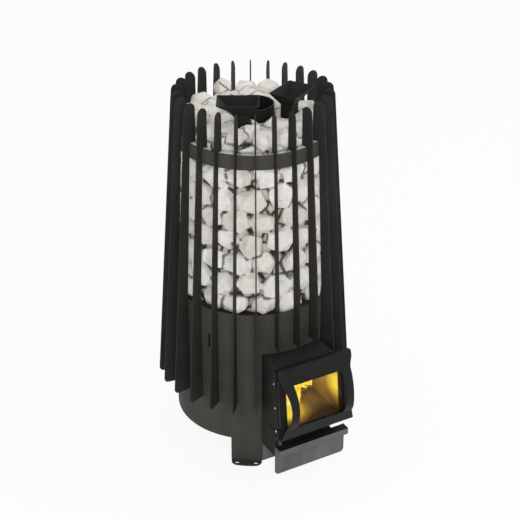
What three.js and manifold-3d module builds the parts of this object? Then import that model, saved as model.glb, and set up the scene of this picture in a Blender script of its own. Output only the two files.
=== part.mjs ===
// A wood-burning sauna stove: a round firebox casing on four feet, a cage of upright fins full of
// stones above it, and a short fuel portal in front with a glazed door and an ash drawer.
// Millimetres, +Z up. The door faces -Y and +X is to the right of someone who faces the door.
// The origin lies on the floor, under the middle of the whole stove's box.
// "Forward" is a distance from the stove's upright axis towards the door.

import * as THREE from 'three';
import { mergeVertices } from 'three/addons/utils/BufferGeometryUtils.js';
import Module from 'manifold-3d';

// Clearances
const seatGap = 0.3; // between pieces that are welded, bolted or stood on each other
const stoneGap = 0.6; // between the stones and what holds them
const runningGap = 0.3; // round the hinge pintles

// Casing: the drum that jackets the firebox, with its legs and vent slots
const casingRadius = 225;
const casingWall = 3;
const casingBottom = 79;
const casingTop = 490;
const legWidth = 90;
const frontLegAngle = 34.6; // degrees from straight ahead
const rearLegAngle = 152.3;
const ventAngle = 62.3;
const ventHeight = 44;
const ventWidth = 6;
const ventMiddle = 390;

// Feet: flat curved plates with round ends under the legs, each with two floor-bolt slots
const footThickness = 4;
const footWidth = 88;
const footReach = 22; // outward from the casing
const footDepth = 42;
const footSlotLength = 13;
const footSlotWidth = 8.5;
const footHoleSpacing = 54;
const footHoleSetback = 12; // from the foot's outer edge

// Skirt: the plate between the two front legs
const skirtThickness = 3;
const skirtForward = 207;
const skirtBottom = 2;

// Fins: upright plates that hold the stones in
const finCount = 26;
const finThickness = 3;
const finBottom = 195;
const finFootRadius = 279;
const finTop = 1062;
const finHeadRadius = 219; // outer edge, where the round head starts
const finHeadWidth = 32.5;
const finCorner = 12;
const shortFinBottom = 385;
const shortFinsEachSide = 1; // next to the one above the door's middle

// Hoop: the band that ties the fins together
const hoopRadius = 206.5;
const hoopWall = 3;
const hoopBottom = 912;
const hoopHeight = 40;

// Firebox: the inner drum, its base, hearth, grate and roof
const fireboxRadius = 208;
const fireboxWall = 5;
const fireboxTop = 470;
const baseThickness = 4;
const baseRise = 3; // above the casing's lower edge
const hearthHeight = 192;
const hearthThickness = 3;
const grateWidth = 130;
const grateLength = 200;
const grateDrop = 12; // below the hearth's top
const grateRim = 8;
const grateRimThickness = 4;
const grateFit = 0.6;
const grateSlots = 6;
const grateSlotWidth = 9;
const grateSlotEnd = 18; // solid iron at both ends of a slot
const roofThickness = 6;

// Flue
const flueRadius = 57.5;
const flueWall = 3;
const flueTop = 1016;
const flueDrop = 8; // below the roof's underside

// Stones: split rocks laid in courses against the cage and heaped on top, all grown on to one core
const rockWide = 88;
const rockTall = 72;
const rockDeep = 56;
const rockVariety = 0.14; // the share by which one rock differs from the next
const rockCorners = 12;
const rocksAround = 16;
const rockCourses = 8;
const courseWander = 16; // up and down within a course
const heapRockWide = 72;
const heapRockTall = 54;
const heapHeight = 986; // of the middles of the heap's rocks
const heapTilt = 0.12; // the heap rises towards the back
const heapRings = [[158, 14], [116, 10], [84, 8]]; // radius, and number of rocks
const coreDepth = 32; // from the cage to the core
const stoneDetail = 1.2; // finer edges than this are left out
const rockSeed = 26;

// Steam funnels: trays on square pipes that lead water down through the stones
const funnelLength = 111;
const funnelWidth = 80;
const funnelTop = 1060;
const funnelDepth = 34;
const funnelWall = 1.5;
const funnelDistance = 106; // from the axis
const funnelAngle = 50.8;
const funnelTurn = 30;
const stemSide = 34;
const stemOffset = 15; // along the tray, towards the flue

// Portal: the sleeve, the fuel channel and the ash channel in it, and the frame on its leaning face
const portalWidth = 180;
const portalWall = 3;
const portalTop = 365;
const portalBottom = 66;
const portalRear = 198;
const portalFace = 341; // forward, at the height of the door's lower edge
const portalLean = 6.2; // degrees; the face leans back at its top
const ashMouth = 283; // forward end of the ash channel
const ledgeClear = 4; // the sleeve steps forward this far above the drawer's lip
const ledgeDrop = 16; // and meets the leaning face this far below the door
const ashRear = 120; // behind the axis
const channelWall = 3;
const frameWidth = 228;
const frameThickness = 4;
const frameBottom = 2; // heights on the leaning face start at the door's lower edge
const frameTop = 212;
const portalVentLength = 38;
const portalVentHeight = 6;
const portalVentForward = 264.5;
const portalVentMiddle = 158;

// Portal screws, in a row behind each edge of the leaning face
const screwSetback = 53;
const screwFirst = -9.8;
const screwPitch = 74.7;
const screwCount = 3;
const screwHeadRadius = 4.5;
const screwHeadHeight = 3;
const screwShankRadius = 2.5;

// Door: the glazed leaf on the leaning face
const doorSill = 18; // the door's lower edge below the hearth
const doorWidth = 232;
const doorHeight = 214;
const leafGap = 4; // between the portal frame and the leaf, filled by the gasket
const leafThickness = 10;
const leafInset = 1; // the leaf inside the front sheet's edge
const hingeEdgeInset = 3; // more on the hinge side
const glassOpeningWidth = 184;
const glassOpeningBottom = 24;
const glassOpeningTop = 178;
const glassThickness = 4;
const glassBearing = 6; // the glass behind the opening's edge
const gasketWidth = 9;
const gasketInset = 6; // from the leaf's edge
const gasketBottom = 4;
const gasketTop = 198;
const retainerLength = 80;
const retainerThickness = 2.5;
const retainerHeight = 10.5;

// Door front: the sheet that bows out in front of the glass
const sheetThickness = 3;
const topBandHeight = 45;
const topBandRise = 9; // how far the band leans out over its height
const bottomBandHeight = 34;
const bottomBandRise = 12;
const bowDepth = 39; // beyond the sheet's upper edge
const bowMiddle = 88;
const bowSteps = 14;
const windowWidth = 150;
const scallopDepth = 18;
const scallopBottom = 4;
const scallopTop = 196;

// Hinge on the door's left edge: two ears with upright pintles, and two knuckles that drop on to them
const pinRadius = 2.6;
const knuckleRadius = 4.4;
const knuckleHeight = 22;
const pinOutset = 2.8; // beyond the front sheet's edge
const pinForward = 7.5;
const pinEnd = 1; // the pintle's end below the knuckle's top
const earHeight = 10;
const knuckleGap = 0.4;
const hingeWeb = 5;

// Ash drawer, shown pulled out a little for air
const drawerOpening = 36; // from shut to the place where it stands
const drawerWidth = 226;
const drawerPanelBottom = 38;
const drawerPanelTop = 132;
const drawerSheet = 3;
const drawerCorner = 12;
const lipReach = 22;
const lipInset = 1;
const hemHeight = 20;
const trayWidth = 160;
const trayTop = 120;
const trayLength = 389;
const trayWall = 2;

// Facets
const drumFacets = 96;
const pipeFacets = 40;
const smallFacets = 12;

// Finishes
const darkPaint = finish(0x3f3e3a, 0.6, 0.3);
const finPaint = finish(0x2b2b29, 0.6, 0.3);
const ironCasting = finish(0x3a3836, 0.8, 0.4);
const bareSteel = finish(0x8a8680, 0.4, 0.9);
const drawerSteel = finish(0x606266, 0.5, 0.5);
const paleStone = finish(0xd8d6cf, 0.9, 0.0);
const ropeSeal = finish(0xb8b2a4, 0.95, 0.0);
const amberGlass = new THREE.MeshStandardMaterial({
  color: 0xd9a441, roughness: 0.08, metalness: 0, transparent: true, opacity: 0.35,
});

function finish(color, roughness, metalness) {
  return new THREE.MeshStandardMaterial({ color, roughness, metalness, flatShading: true });
}

// Solids

const wasm = await Module();
wasm.setup();

function solidOf(geometry) {
  const bare = geometry.clone();
  bare.deleteAttribute('normal');
  bare.deleteAttribute('uv');
  const welded = mergeVertices(bare, 1e-3);
  return new wasm.Manifold(new wasm.Mesh({
    numProp: 3,
    vertProperties: new Float32Array(welded.attributes.position.array),
    triVerts: new Uint32Array(welded.index.array),
  }));
}

function geometryOf(solid) {
  const { vertProperties, triVerts } = solid.getMesh();
  const geometry = new THREE.BufferGeometry();
  geometry.setAttribute('position', new THREE.BufferAttribute(vertProperties, 3));
  geometry.setIndex(new THREE.BufferAttribute(triVerts, 1));
  geometry.computeVertexNormals();
  return geometry;
}

function piece(name, solid, material) {
  const mesh = new THREE.Mesh(geometryOf(solid), material);
  mesh.name = name;
  return mesh;
}

function slab([x0, x1], [y0, y1], [z0, z1]) {
  const box = new THREE.BoxGeometry(x1 - x0, y1 - y0, z1 - z0);
  box.translate((x0 + x1) / 2, (y0 + y1) / 2, (z0 + z1) / 2);
  return solidOf(box);
}

// A slab that is as wide to the left as to the right, given by forward distances
function crossSlab(width, [forward0, forward1], heights) {
  return slab([-width / 2, width / 2], [-forward1, -forward0], heights);
}

// A closed profile of (radius, height) points turned about the upright axis
function turned(profile, facets) {
  const points = [...profile, profile[0]].map(([radius, height]) => new THREE.Vector2(radius, height));
  return solidOf(new THREE.LatheGeometry(points, facets).rotateX(Math.PI / 2));
}

function rod(radius, bottom, top, facets) {
  const cylinder = new THREE.CylinderGeometry(radius, radius, top - bottom, facets);
  return solidOf(cylinder.rotateX(Math.PI / 2).translate(0, 0, (bottom + top) / 2));
}

function tube(radius, wall, bottom, top, facets) {
  const inner = radius - wall;
  return turned([[inner, bottom], [radius, bottom], [radius, top], [inner, top]], facets);
}

function extruded(shape, depth) {
  return new THREE.ExtrudeGeometry(shape, { depth, bevelEnabled: false, curveSegments: 5 });
}

function outline(points) {
  return new THREE.Shape(points.map(([across, up]) => new THREE.Vector2(across, up)));
}

const right = new THREE.Vector3(1, 0, 0);
const left = new THREE.Vector3(-1, 0, 0);
const front = new THREE.Vector3(0, -1, 0);
const up = new THREE.Vector3(0, 0, 1);

// A (forward, height) outline spread evenly to the left and right
function sidePlate(shape, width) {
  const turn = new THREE.Matrix4().makeBasis(front, up, left);
  return solidOf(extruded(shape, width).applyMatrix4(turn).translate(width / 2, 0, 0));
}

// An (x, height) outline thickened towards the front, from the plane y = back
function facePlate(shape, back, thickness) {
  const turn = new THREE.Matrix4().makeBasis(right, up, front);
  return solidOf(extruded(shape, thickness).applyMatrix4(turn).translate(0, back, 0));
}

function degrees(angle) {
  return THREE.MathUtils.degToRad(angle);
}

// A pie slice about the upright axis, between two angles from straight ahead
function wedge(radius, fromAngle, toAngle, bottom, top) {
  const steps = 24;
  const points = [[0, 0]];
  for (let i = 0; i <= steps; i += 1) {
    const angle = degrees(fromAngle + ((toAngle - fromAngle) * i) / steps);
    points.push([radius * Math.sin(angle), -radius * Math.cos(angle)]);
  }
  return solidOf(extruded(outline(points), top - bottom).translate(0, 0, bottom));
}

// An upright or lying oblong hole's outline, with round ends
function oblong(width, height) {
  const round = Math.min(width, height) / 2;
  return roundedRectangle([-width / 2, width / 2], [-height / 2, height / 2], [round, round]);
}

// A rectangle with its lower and upper corners rounded by the two given radii
function roundedRectangle([x0, x1], [z0, z1], [lower, upper]) {
  const shape = new THREE.Shape();
  shape.moveTo(x0 + lower, z0);
  shape.lineTo(x1 - lower, z0);
  if (lower > 0) shape.absarc(x1 - lower, z0 + lower, lower, -Math.PI / 2, 0);
  shape.lineTo(x1, z1 - upper);
  if (upper > 0) shape.absarc(x1 - upper, z1 - upper, upper, 0, Math.PI / 2);
  shape.lineTo(x0 + upper, z1);
  if (upper > 0) shape.absarc(x0 + upper, z1 - upper, upper, Math.PI / 2, Math.PI);
  shape.lineTo(x0, z0 + lower);
  if (lower > 0) shape.absarc(x0 + lower, z0 + lower, lower, Math.PI, 1.5 * Math.PI);
  return shape;
}

// A four-sided frustum between two rectangles given as [middle x, length, width, height]
function hopper([xa, lengthA, widthA, za], [xb, lengthB, widthB, zb]) {
  const corners = [];
  for (const [x, length, width, z] of [[xa, lengthA, widthA, za], [xb, lengthB, widthB, zb]]) {
    corners.push(x - length / 2, -width / 2, z, x + length / 2, -width / 2, z);
    corners.push(x + length / 2, width / 2, z, x - length / 2, width / 2, z);
  }
  const faces = [0, 2, 1, 0, 3, 2, 4, 5, 6, 4, 6, 7];
  for (let i = 0; i < 4; i += 1) {
    const next = (i + 1) % 4;
    faces.push(i, next, next + 4, i, next + 4, i + 4);
  }
  const geometry = new THREE.BufferGeometry();
  geometry.setAttribute('position', new THREE.Float32BufferAttribute(corners, 3));
  geometry.setIndex(faces);
  return solidOf(geometry);
}

// Shared places

const lean = degrees(portalLean);
const doorBottom = hearthHeight - doorSill;
const ashLedge = drawerPanelTop + ledgeClear;
const funnelNeck = funnelTop - funnelDepth;
const casingBore = casingRadius - casingWall;
const fireboxBore = fireboxRadius - fireboxWall;
const legBottom = footThickness + seatGap;
const baseBottom = casingBottom + baseRise;
const baseTop = baseBottom + baseThickness;
const roofBottom = fireboxTop + seatGap;
const roofTop = roofBottom + roofThickness;
const hoopTop = hoopBottom + hoopHeight;
const sleeveBore = portalWidth - 2 * portalWall;
const channelWidth = sleeveBore - 2 * seatGap;
const channelBore = channelWidth - 2 * channelWall;
const channelTop = portalTop - portalWall - seatGap;
const channelBottom = hearthHeight - channelWall;
const hearthBottom = hearthHeight - hearthThickness;
const ashTop = hearthBottom - seatGap;
const ashFloor = portalBottom + channelWall;
const beyond = 20; // how far a cutting block stands past what it cuts

// How far forward the leaning face lies at a height, or a plane behind it
function faceForward(height, setback) {
  const drop = height - doorBottom + setback * Math.sin(lean);
  return portalFace - drop * Math.tan(lean) - setback * Math.cos(lean);
}

// A height above the floor as a height on the leaning face
function onFace(height) {
  return (height - doorBottom) / Math.cos(lean);
}

// Casing and feet

const legAngles = [-rearLegAngle, -frontLegAngle, frontLegAngle, rearLegAngle];
const legHalfAngle = THREE.MathUtils.radToDeg(legWidth / 2 / casingRadius);

function casing() {
  let drum = tube(casingRadius, casingWall, legBottom, casingTop, drumFacets);
  legAngles.forEach((angle, i) => {
    const next = i + 1 < legAngles.length ? legAngles[i + 1] : legAngles[0] + 360;
    const reach = casingRadius * 2;
    const gap = wedge(reach, angle + legHalfAngle, next - legHalfAngle, legBottom - beyond, casingBottom);
    drum = drum.subtract(gap);
  });
  const opening = portalWidth + 2 * seatGap;
  const depth = [portalRear - beyond, casingRadius + beyond];
  drum = drum.subtract(crossSlab(opening, depth, [portalBottom - seatGap, portalTop + seatGap]));
  const slot = facePlate(oblong(ventWidth, ventHeight), -casingBore + beyond, casingWall + 2 * beyond);
  for (const angle of [-ventAngle, ventAngle]) {
    drum = drum.subtract(slot.translate([0, 0, ventMiddle]).rotate([0, 0, angle]));
  }
  return piece('drum_casing', drum, darkPaint);
}

function foot(name, angle) {
  const outer = casingRadius + footReach;
  const cap = footDepth / 2;
  const middle = outer - cap;
  const halfAngle = THREE.MathUtils.radToDeg((footWidth / 2 - cap) / middle);
  const height = footThickness;
  const hollow = rod(outer - footDepth, -beyond, height + beyond, drumFacets);
  let solid = rod(outer, 0, height, drumFacets).subtract(hollow);
  solid = solid.intersect(wedge(2 * outer, -halfAngle, halfAngle, -beyond, height + beyond));
  for (const side of [-1, 1]) {
    const end = rod(cap, 0, height, pipeFacets).translate([0, -middle, 0]);
    solid = solid.add(end.rotate([0, 0, side * halfAngle]));
  }
  for (const side of [-1, 1]) {
    const slot = solidOf(extruded(oblong(footSlotLength, footSlotWidth), height + 2 * beyond));
    solid = solid.subtract(slot.translate([(side * footHoleSpacing) / 2, footHoleSetback - outer, -beyond]));
  }
  const mesh = piece(name, solid, darkPaint);
  mesh.rotation.z = degrees(angle);
  return mesh;
}

function skirt() {
  const legEdge = degrees(frontLegAngle - legHalfAngle);
  const width = 2 * (casingBore * Math.sin(legEdge) - seatGap);
  const heights = [skirtBottom, portalBottom - seatGap];
  return piece('front_skirt', crossSlab(width, [skirtForward - skirtThickness, skirtForward], heights), darkPaint);
}

// Firebox

function basePlate() {
  const disc = rod(casingBore - seatGap, baseBottom, baseTop, drumFacets);
  const depth = [-ashRear - seatGap, casingRadius];
  const opening = crossSlab(portalWidth + 2 * seatGap, depth, [baseBottom - beyond, baseTop + beyond]);
  return piece('base_plate', disc.subtract(opening), darkPaint);
}

function fireboxShell() {
  const bottom = baseTop + seatGap;
  const drum = tube(fireboxRadius, fireboxWall, bottom, fireboxTop, drumFacets);
  const depth = [fireboxBore / 2, fireboxRadius + beyond];
  const fuelDoor = crossSlab(channelBore, depth, [hearthHeight, channelTop - channelWall]);
  const ashDoor = crossSlab(channelWidth + 2 * seatGap, depth, [bottom - beyond, ashTop + seatGap]);
  return piece('firebox_shell', drum.subtract(fuelDoor).subtract(ashDoor), ironCasting);
}

function hearthPlate() {
  const disc = rod(fireboxBore - seatGap, hearthBottom, hearthHeight, drumFacets);
  const heights = [hearthBottom - beyond, hearthHeight + beyond];
  const opening = crossSlab(grateWidth, [-grateLength / 2, grateLength / 2], heights);
  return piece('hearth_plate', disc.subtract(opening), ironCasting);
}

function grate() {
  const rimBottom = hearthHeight + seatGap;
  const rimTop = rimBottom + grateRimThickness;
  const bodyLength = grateLength - 2 * grateFit;
  const bodyWidth = grateWidth - 2 * grateFit;
  const bodyDepth = [-bodyLength / 2, bodyLength / 2];
  const rimDepth = [-grateLength / 2 - grateRim, grateLength / 2 + grateRim];
  let solid = crossSlab(grateWidth + 2 * grateRim, rimDepth, [rimBottom, rimTop]);
  solid = solid.add(crossSlab(bodyWidth, bodyDepth, [hearthHeight - grateDrop, rimTop]));
  const pitch = bodyWidth / grateSlots;
  const slotDepth = [-bodyLength / 2 + grateSlotEnd, bodyLength / 2 - grateSlotEnd];
  for (let i = 0; i < grateSlots; i += 1) {
    const middle = (i + 0.5) * pitch - bodyWidth / 2;
    const slot = crossSlab(grateSlotWidth, slotDepth, [hearthHeight - grateDrop - beyond, rimTop + beyond]);
    solid = solid.subtract(slot.translate([middle, 0, 0]));
  }
  return piece('grate', solid, ironCasting);
}

function roof() {
  const disc = rod(casingBore - seatGap, roofBottom, roofTop, drumFacets);
  const hole = rod(flueRadius + seatGap, roofBottom - beyond, roofTop + beyond, pipeFacets);
  return piece('firebox_roof', disc.subtract(hole), ironCasting);
}

function flue() {
  return piece('flue_pipe', tube(flueRadius, flueWall, roofBottom - flueDrop, flueTop, pipeFacets), darkPaint);
}

// Stone cage

// The fins' inner edge leans in from the casing to the hoop
function finInnerRadius(height) {
  const foot = casingRadius + seatGap;
  const head = hoopRadius + seatGap;
  const share = (height - casingTop) / (hoopBottom - casingTop);
  return THREE.MathUtils.lerp(foot, head, THREE.MathUtils.clamp(share, 0, 1));
}

function finOutline(bottom) {
  const round = finHeadWidth / 2;
  const shoulder = finTop - round;
  const headMiddle = finHeadRadius - round;
  const slope = (finFootRadius - finHeadRadius) / (shoulder - finBottom);
  const footRadius = finHeadRadius + slope * (shoulder - bottom);
  const cornerTop = bottom + finCorner;
  const cornerRadius = footRadius - slope * finCorner - finCorner;
  const shape = new THREE.Shape();
  shape.moveTo(casingRadius + seatGap, bottom);
  shape.lineTo(cornerRadius, bottom);
  shape.absarc(cornerRadius, cornerTop, finCorner, -Math.PI / 2, 0);
  shape.lineTo(finHeadRadius, shoulder);
  shape.absarc(headMiddle, shoulder, round, 0, Math.PI);
  shape.lineTo(finHeadRadius - finHeadWidth, hoopTop + seatGap);
  shape.lineTo(hoopRadius + seatGap, hoopTop + seatGap);
  shape.lineTo(hoopRadius + seatGap, hoopBottom);
  shape.lineTo(casingRadius + seatGap, casingTop);
  return shape;
}

function fins() {
  const whole = sidePlate(finOutline(finBottom), finThickness);
  const short = sidePlate(finOutline(shortFinBottom), finThickness);
  const meshes = [];
  for (let i = 0; i < finCount; i += 1) {
    const fromDoor = Math.min(i, finCount - i);
    const solid = fromDoor <= shortFinsEachSide ? short : whole;
    const mesh = piece(`fin_${String(i).padStart(2, '0')}`, solid, finPaint);
    mesh.rotation.z = (2 * Math.PI * i) / finCount;
    meshes.push(mesh);
  }
  return meshes;
}

function hoop() {
  return piece('hoop_band', tube(hoopRadius, hoopWall, hoopBottom, hoopTop, drumFacets), darkPaint);
}

// Even numbers from 0 to 1 in a fixed order, so that the stones never change
function dice(seed) {
  let state = seed;
  return () => {
    state = (state * 16807) % 2147483647;
    return state / 2147483647;
  };
}

// A flat-faced rock about the origin: the hull of points spread evenly over a boxy egg
function rock(roll, [wide, deep, tall], turn) {
  const vary = () => 1 + rockVariety * (2 * roll() - 1);
  const half = new THREE.Vector3((wide / 2) * vary(), (deep / 2) * vary(), (tall / 2) * vary());
  const spin = new THREE.Quaternion(roll() - 0.5, roll() - 0.5, roll() - 0.5, roll() - 0.5).normalize();
  const goldenAngle = Math.PI * (3 - Math.sqrt(5));
  const corners = [];
  for (let i = 0; i < rockCorners; i += 1) {
    const height = 1 - (2 * i + 1) / rockCorners;
    const flat = Math.sqrt(1 - height ** 2);
    const corner = new THREE.Vector3(flat * Math.cos(i * goldenAngle), flat * Math.sin(i * goldenAngle), height);
    corner.applyQuaternion(spin);
    const egg = (Math.abs(corner.x) ** 3 + Math.abs(corner.y) ** 3 + Math.abs(corner.z) ** 3) ** (1 / 3);
    corner.multiplyScalar((0.88 + 0.12 * roll()) / egg).multiply(half).applyAxisAngle(up, turn);
    corners.push(corner.toArray());
  }
  return wasm.Manifold.hull(corners);
}

const stoneBottom = roofTop + seatGap;
const stoneFoot = casingBore - stoneGap;
const stoneHoop = hoopRadius - hoopWall - stoneGap;
const stoneHead = finHeadRadius - finHeadWidth - stoneGap;

// How far out the stones may reach at a height
function stoneReach(height) {
  if (height > hoopTop) return stoneHead;
  const share = THREE.MathUtils.clamp((height - casingTop) / (hoopBottom - casingTop), 0, 1);
  return THREE.MathUtils.lerp(stoneFoot, stoneHoop, share);
}

// The room inside the cage, or the same with its wall moved in
function cageRoom(inset, top) {
  return turned([
    [0, stoneBottom],
    [stoneFoot - inset, stoneBottom],
    [stoneFoot - inset, casingTop],
    [stoneHoop - inset, hoopBottom - stoneGap],
    [stoneHoop - inset, hoopTop - stoneGap],
    [stoneHead - inset, hoopTop - stoneGap],
    [stoneHead - inset, top],
    [0, top],
  ], pipeFacets);
}

function sideRocks(roll) {
  const first = stoneBottom + rockTall * 0.4;
  const last = hoopTop - rockTall * 0.2;
  const rocks = [];
  for (let course = 0; course < rockCourses; course += 1) {
    const level = THREE.MathUtils.lerp(first, last, course / (rockCourses - 1));
    for (let i = 0; i < rocksAround; i += 1) {
      const angle = (2 * Math.PI * (i + (course % 2) / 2 + 0.3 * roll())) / rocksAround;
      const height = level + courseWander * (roll() - 0.5);
      const reach = stoneReach(height) - rockDeep * 0.49;
      const place = [reach * Math.sin(angle), -reach * Math.cos(angle), height];
      rocks.push(rock(roll, [rockWide, rockDeep, rockTall], angle).translate(place));
    }
  }
  return rocks;
}

function heapRocks(roll) {
  const rocks = [];
  for (const [radius, count] of heapRings) {
    for (let i = 0; i < count; i += 1) {
      const angle = (2 * Math.PI * (i + 0.35 * roll())) / count;
      const y = -radius * Math.cos(angle);
      const height = heapHeight + heapTilt * y + courseWander * (roll() - 0.5);
      const size = [heapRockWide, heapRockWide * 0.9, heapRockTall];
      rocks.push(rock(roll, size, 2 * Math.PI * roll()).translate([radius * Math.sin(angle), y, height]));
    }
  }
  return rocks;
}

function stones() {
  const roll = dice(rockSeed);
  const tall = funnelTop + heapHeight;
  const low = roofBottom;
  const slope = new THREE.Vector3(0, heapTilt, -1).normalize();
  const core = cageRoom(coreDepth, heapHeight + rockTall).trimByPlane(slope.toArray(), slope.z * heapHeight);
  let solid = wasm.Manifold.union([core, ...sideRocks(roll), ...heapRocks(roll)]);
  solid = solid.intersect(cageRoom(0, tall)).subtract(rod(flueRadius + stoneGap, low, tall, pipeFacets));
  for (const side of [-1, 1]) {
    const bore = stemSide + 2 * stoneGap;
    solid = solid.subtract(placedFunnel(crossSlab(bore, [-bore / 2, bore / 2], [low, tall]), side, stemOffset));
    const mouthLength = funnelLength + 2 * stoneGap;
    const mouthWidth = funnelWidth + 2 * stoneGap;
    const tray = hopper(
      [-side * stemOffset, bore, bore, funnelNeck - stoneGap],
      [0, mouthLength, mouthWidth, funnelTop],
    );
    const above = crossSlab(mouthLength, [-mouthWidth / 2, mouthWidth / 2], [funnelTop, tall]);
    solid = solid.subtract(placedFunnel(tray.add(above), side, 0));
  }
  const largest = solid.simplify(stoneDetail).decompose().sort((a, b) => b.volume() - a.volume())[0];
  return piece('stone_fill', largest, paleStone);
}

// Puts a solid that is made about a funnel's middle in its place on the left (-1) or right (1)
function placedFunnel(solid, side, along) {
  const angle = degrees(funnelAngle);
  const place = [side * funnelDistance * Math.sin(angle), -funnelDistance * Math.cos(angle), 0];
  return solid.translate([-side * along, 0, 0]).rotate([0, 0, side * funnelTurn]).translate(place);
}

function funnel(name, side) {
  const stemMiddle = -side * stemOffset;
  const stemBottom = roofTop + seatGap;
  const bore = stemSide - 2 * funnelWall;
  const tray = hopper(
    [stemMiddle, stemSide, stemSide, funnelNeck],
    [0, funnelLength, funnelWidth, funnelTop],
  );
  const hollow = hopper(
    [stemMiddle, bore, bore, funnelNeck],
    [0, funnelLength - 2 * funnelWall, funnelWidth - 2 * funnelWall, funnelTop],
  );
  const half = stemSide / 2;
  const stem = slab([stemMiddle - half, stemMiddle + half], [-half, half], [stemBottom, funnelNeck]);
  const pipe = slab(
    [stemMiddle - bore / 2, stemMiddle + bore / 2],
    [-bore / 2, bore / 2],
    [stemBottom - beyond, funnelNeck],
  );
  const solid = tray.add(stem).subtract(hollow).subtract(pipe);
  return piece(name, placedFunnel(solid, side, 0), darkPaint);
}

// Portal body

function portalSleeve() {
  const setback = frameThickness + seatGap;
  const ledgeFront = doorBottom - ledgeDrop;
  const shape = outline([
    [portalRear, portalBottom],
    [ashMouth, portalBottom],
    [ashMouth, ashLedge],
    [faceForward(ledgeFront, setback), ledgeFront],
    [faceForward(portalTop, setback), portalTop],
    [portalRear, portalTop],
  ]);
  const hollowDepth = [portalRear - beyond, portalFace + beyond];
  const hollow = crossSlab(sleeveBore, hollowDepth, [portalBottom - beyond, portalTop - portalWall]);
  const firebox = rod(fireboxRadius + seatGap, portalBottom, portalTop + beyond, drumFacets);
  let solid = sidePlate(shape, portalWidth).subtract(hollow).subtract(firebox);
  const vent = sidePlate(oblong(portalVentLength, portalVentHeight), portalWidth + 2 * beyond);
  solid = solid.subtract(vent.translate([0, -portalVentForward, portalVentMiddle]));
  for (let i = 0; i < screwCount; i += 1) {
    solid = solid.subtract(onLeaningFace(screwHole(), [0, screwSetback, screwFirst + i * screwPitch]));
  }
  return piece('portal_sleeve', solid, darkPaint);
}

// A hole through both of the sleeve's sides
function screwHole() {
  const reach = portalWidth / 2 + beyond;
  return rod(screwShankRadius + seatGap, -reach, reach, smallFacets).rotate([0, 90, 0]);
}

// Moves a solid from the leaning face's own frame to the stove's
function onLeaningFace(solid, place) {
  return solid.translate(place).rotate([-portalLean, 0, 0]).translate([0, -portalFace, doorBottom]);
}

function fuelChannel() {
  const setback = frameThickness + seatGap;
  const rear = fireboxRadius / 2;
  const shape = outline([
    [rear, channelBottom],
    [faceForward(channelBottom, setback), channelBottom],
    [faceForward(channelTop, setback), channelTop],
    [rear, channelTop],
  ]);
  const depth = [rear - beyond, portalFace + beyond];
  const hollow = crossSlab(channelBore, depth, [hearthHeight, channelTop - channelWall]);
  const firebox = rod(fireboxRadius + seatGap, channelBottom - beyond, channelTop + beyond, drumFacets);
  const solid = sidePlate(shape, channelWidth).subtract(hollow).subtract(firebox);
  return piece('fuel_channel', solid, ironCasting);
}

function ashChannel() {
  const outer = crossSlab(channelWidth, [-ashRear, ashMouth], [portalBottom, ashTop]);
  const inner = crossSlab(channelBore, [channelWall - ashRear, ashMouth + beyond], [ashFloor, ashTop + beyond]);
  return piece('ash_channel', outer.subtract(inner), ironCasting);
}

// Pieces on the leaning face: x to the right, -y forward from the face, z up along it

const pinX = -doorWidth / 2 - pinOutset;
const pinY = -pinForward;
const leafBack = -leafGap;
const leafFront = leafBack - leafThickness;
const leafLeft = -doorWidth / 2 + hingeEdgeInset;
const leafRight = doorWidth / 2;
const leafTop = doorHeight - leafInset;
const hingeHeight = earHeight + knuckleGap + knuckleHeight;
const earBottoms = [frameBottom, frameTop - knuckleGap - hingeHeight];
const pinBore = pinRadius + runningGap;

function hingeRod(radius, [bottom, top]) {
  return rod(radius, bottom, top, smallFacets).translate([pinX, pinY, 0]);
}

function portalFrame() {
  const half = frameWidth / 2;
  const shape = outline([[-half, frameBottom], [half, frameBottom], [half, frameTop], [-half, frameTop]]);
  const opening = outline([
    [-channelBore / 2, onFace(hearthHeight)],
    [channelBore / 2, onFace(hearthHeight)],
    [channelBore / 2, onFace(channelTop - channelWall)],
    [-channelBore / 2, onFace(channelTop - channelWall)],
  ]);
  shape.holes.push(opening);
  let solid = facePlate(shape, frameThickness, frameThickness);
  for (const bottom of earBottoms) {
    const heights = [bottom, bottom + earHeight];
    const tab = slab([pinX - knuckleRadius, -half + beyond / 2], [0, frameThickness], heights);
    const web = slab([pinX - knuckleRadius, pinX + knuckleRadius], [pinY, frameThickness / 2], heights);
    const pintle = hingeRod(pinRadius, [bottom, bottom + hingeHeight - pinEnd]);
    solid = solid.add(tab).add(web).add(hingeRod(knuckleRadius, heights)).add(pintle);
  }
  return piece('portal_frame', solid, darkPaint);
}

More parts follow.
